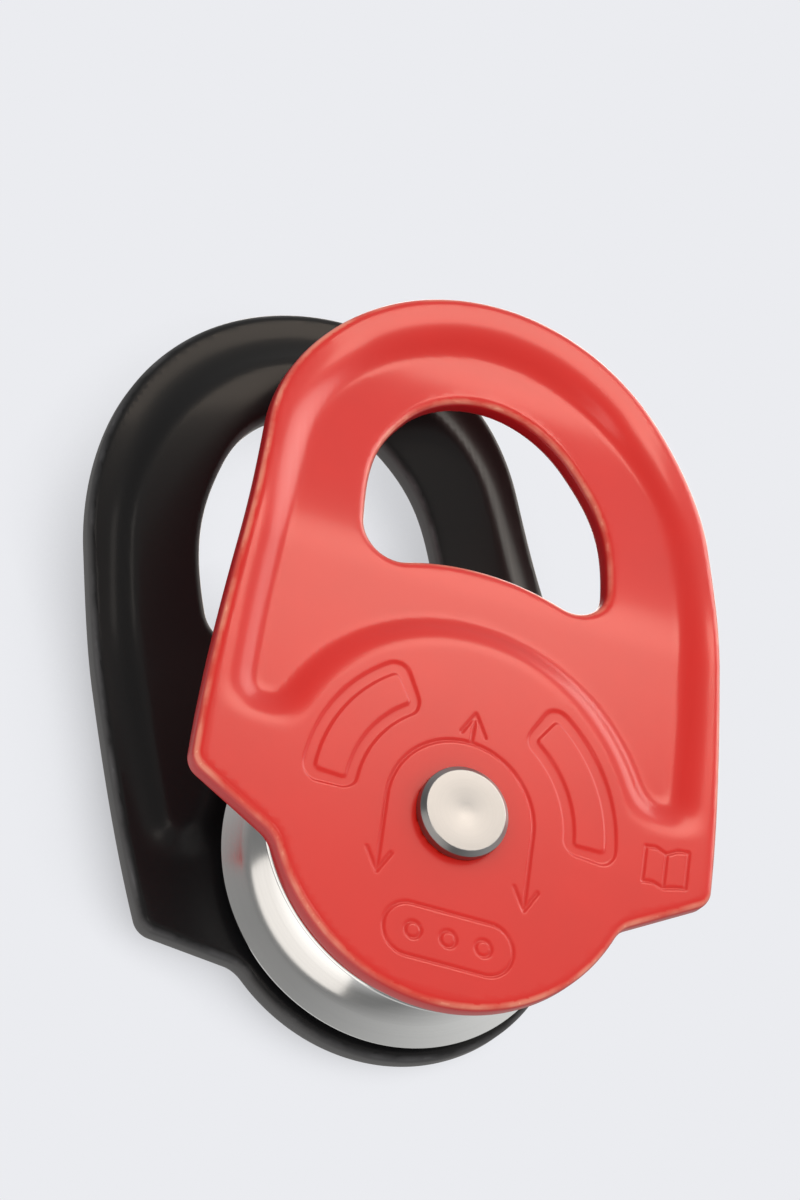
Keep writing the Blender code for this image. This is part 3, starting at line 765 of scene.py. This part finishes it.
def axleProfile():
    # flat head with a centre dimple in front, plain shank, and a spigot for the rear head
    head, face, end = axleSize["headRadius"], axleSize["faceRadius"], axleSize["headEnd"]
    shank, spigot = axleSize["shankRadius"], axleSize["spigotRadius"]
    chamfer = axleSize["chamferHeight"]
    return [
        (0.0, -end + axleSize["dimpleDepth"]),
        (axleSize["dimpleRadius"], -end),
        (face - 0.06, -end),  # short runs on either side of the chamfer keep its edges crisp
        (face + 0.03, -end + 0.04),
        (head - 0.04, -end + chamfer - 0.04),
        (head, -end + chamfer + 0.06),
        (head, -axleSize["headStart"]),
        (shank, -axleSize["headStart"]),
        (shank, axleSize["plateOuter"]),
        (spigot, axleSize["plateOuter"]),
        (spigot, end - chamfer),
        (0.0, end - chamfer),
    ]


def rivetProfile():
    # the rear head, a ring closed over the spigot
    head, face, end = axleSize["headRadius"], axleSize["faceRadius"], axleSize["headEnd"]
    bore, lead = axleSize["spigotRadius"] + axleSize["rivetClearance"], axleSize["rivetLead"]
    return [
        (bore, axleSize["headStart"]),
        (head, axleSize["headStart"]),
        (head, end - axleSize["chamferHeight"]),
        (face, end - 0.05),
        (face - 0.15, end),
        (bore + lead, end),
        (bore, end - lead),
    ]


turnProfile("axlePin", axleProfile(), axleSize["steps"], stainlessSteel, "axle_pin", "axle_set",
            closed=False, crease=12.0)
turnProfile("rearRivetHead", rivetProfile(), axleSize["steps"], stainlessSteel, "rear_rivet_head",
            "axle_set")
print("turned pieces made")


nodeFinishes = (  # CAD nodes that are shown as they are: part of the name, material, slot
    ("plate_bush", bushBronze, "bronze_bush"),
    ("thrust_washer", stainlessSteel, "stainless_steel"),
    ("bearing_spacer", stainlessSteel, "stainless_steel"),
    ("_ring", bearingSteel, "bearing_steel"),
    ("_ball_", bearingSteel, "bearing_steel"),
    ("_cage", cageNylon, "cage_nylon"),
    ("_seal", sealRubber, "seal_rubber"),
)
for nodeName, node in frame["nodes"].items():
    for ending, material, slotName in nodeFinishes:
        if ending in nodeName and not node.hide_render:
            node.data.materials.clear()
            node.data.materials.append(material)


stage = {
    "wallGap": 1.0,          # mm behind the rear head
    "wallSize": 3.0,         # metres
    "wallHex": "#ebecf0",
    "shadowReach": 16.0,     # mm
    "shadowFrom": (0.45, -0.78, -0.43),
    "shadowRange": (0.35, 0.88),
    "shadowShade": 0.62,
    "shadowSamples": 16,
    "worldHex": "#eeece8",
    "evenLight": 1.17,       # what the dyed surface itself is lit by, the same from all round
    "worldDim": 0.25,
    "worldBright": 1.1,
    "worldTowards": (0.72, -0.4, 0.56),
    "worldFrom": -0.2,       # where the brightening starts, 1 being straight at worldTowards
    "worldBack": 0.55,       # the pale sweep, low behind the object
    "worldBackTowards": (-0.35, 0.78, -0.52),
    "worldBackRange": (0.35, 0.85),
}
camera = {
    "location": (-0.17599, -0.50102, -0.28464),
    "turn": (115.939, -7.284, -22.102),
    "lens": 127.9,
}
lights = {  # degrees round to the right of the front, degrees up, metres away
    "side": {"round": 75.0, "up": 38.0, "away": 0.8, "size": 0.5, "power": 3.0, "hex": "#fff4ea"},
    "front": {"round": 20.0, "up": 32.0, "away": 0.6, "size": 0.2, "power": 0.95, "hex": "#ffecd8"},
    "low": {"round": -88.0, "up": -42.0, "away": 0.7, "size": 1.3, "power": 4.8, "hex": "#fff6ec"},
    "rear": {"round": 150.0, "up": 40.0, "away": 0.8, "size": 0.5, "power": 3.0, "hex": "#fff4ea"},
    "near": {"round": -12.0, "up": -8.0, "away": 0.75, "size": 0.15, "power": 0.3, "hex": "#fff6ec"},
}


def makeWall():
    # a pale glowing surface close behind, with a painted shadow near the object and clear from its back
    clearSelection()
    bpy.ops.mesh.primitive_plane_add(size=stage["wallSize"])
    wall = bpy.context.object
    wall.name = "paleWall"
    wall.rotation_euler = (math.radians(90.0), 0.0, 0.0)
    wall.location = (0.0, cadHigh.y + stage["wallGap"] * mm, axleZ)
    material, tree, shader = newMaterial("paleBackdropWithPaintedShadow")
    tree.nodes.remove(shader)
    # painted shadow: occlusion, leaned towards shadowFrom, darkens the wall's glow near the object
    lean = addNode(tree, "ShaderNodeCombineXYZ", dict(enumerate(stage["shadowFrom"])))
    near = addNode(tree, "ShaderNodeAmbientOcclusion",
                   {"samples": stage["shadowSamples"], "Distance": stage["shadowReach"] * mm},
                   {"Normal": lean.outputs[0]})
    dark, clean = stage["shadowRange"]
    shade = addNode(tree, "ShaderNodeMapRange",
                    {"From Min": dark, "From Max": clean, "To Min": stage["shadowShade"]},
                    {"Value": near.outputs["AO"]})
    glow = addNode(tree, "ShaderNodeEmission", {"Color": hexColour(stage["wallHex"])},
                   {"Strength": shade.outputs["Result"]})
    back = addNode(tree, "ShaderNodeNewGeometry").outputs["Backfacing"]
    clear = addNode(tree, "ShaderNodeBsdfTransparent")
    oneSided = addNode(tree, "ShaderNodeMixShader", None, {0: back, 1: glow.outputs[0], 2: clear.outputs[0]})
    tree.links.new(oneSided.outputs[0], tree.nodes["Material Output"].inputs["Surface"])
    wall.data.materials.append(material)
    wall.visible_shadow = False
    wall.visible_glossy = False
    wall.visible_diffuse = False


def makeCamera():
    data = bpy.data.cameras.new("camera")
    data.sensor_width = 36.0
    data.lens = camera["lens"]
    data.clip_start, data.clip_end = 0.01, 20.0
    eye = bpy.data.objects.new("camera", data)
    eye.location = camera["location"]
    eye.rotation_euler = [math.radians(a) for a in camera["turn"]]
    bpy.context.collection.objects.link(eye)
    bpy.context.scene.camera = eye
    bpy.context.view_layer.update()


def makeLights():
    middle = (cadLow + cadHigh) / 2
    for name, facts in lights.items():
        data = bpy.data.lights.new(name, "AREA")
        data.shape = "SQUARE"
        data.size = facts["size"]
        data.energy = facts["power"]
        data.color = hexColour(facts["hex"])[:3]
        lamp = bpy.data.objects.new(name, data)
        turn, up = math.radians(facts["round"]), math.radians(facts["up"])
        way = Vector((math.sin(turn) * math.cos(up), -math.cos(turn) * math.cos(up), math.sin(up)))
        lamp.location = middle + facts["away"] * way
        lamp.rotation_euler = way.to_track_quat("Z", "Y").to_euler()
        lamp.visible_diffuse = False  # these are there for their reflections
        bpy.context.collection.objects.link(lamp)


def makeRoom():
    # a pale room, dim towards the lower left; seen directly it has the wall's plain colour
    world = bpy.data.worlds.new("softRoom")
    bpy.context.scene.world = world
    world.use_nodes = True
    tree = world.node_tree
    sky = tree.nodes["Background"]
    way = addNode(tree, "ShaderNodeTexCoord").outputs["Generated"]
    fall = addNode(tree, "ShaderNodeVectorMath", {"operation": "DOT_PRODUCT", 1: stage["worldBackTowards"]},
                   {0: way})
    near, far = stage["worldBackRange"]
    behind = addNode(tree, "ShaderNodeMapRange",
                     {"From Min": near, "From Max": far, "To Max": stage["worldBack"]},
                     {"Value": fall.outputs["Value"]})
    lean = addNode(tree, "ShaderNodeVectorMath", {"operation": "DOT_PRODUCT", 1: stage["worldTowards"]},
                   {0: way})
    ahead = addNode(tree, "ShaderNodeMapRange",
                    {"From Min": stage["worldFrom"], "To Min": stage["worldDim"],
                     "To Max": stage["worldBright"]},
                    {"Value": lean.outputs["Value"]})
    total = addNode(tree, "ShaderNodeMath", {"operation": "ADD"},
                    {0: behind.outputs["Result"], 1: ahead.outputs["Result"]})
    path = addNode(tree, "ShaderNodeLightPath")
    lit = addNode(tree, "ShaderNodeMix", {3: stage["evenLight"]},
                  {0: path.outputs["Is Diffuse Ray"], 2: total.outputs[0]})
    strength = addNode(tree, "ShaderNodeMix", {3: 1.0},
                       {0: path.outputs["Is Camera Ray"], 2: lit.outputs[0]})
    colour = addNode(tree, "ShaderNodeMix", {
        "data_type": "RGBA", 6: hexColour(stage["worldHex"]), 7: hexColour(stage["wallHex"])},
        {0: path.outputs["Is Camera Ray"]})
    tree.links.new(colour.outputs[2], sky.inputs["Color"])
    tree.links.new(strength.outputs[0], sky.inputs["Strength"])


makeWall()
makeCamera()
makeLights()
makeRoom()
bpy.context.scene.view_settings.view_transform = "Standard"
print("stage set")

bpy.context.view_layer.update()
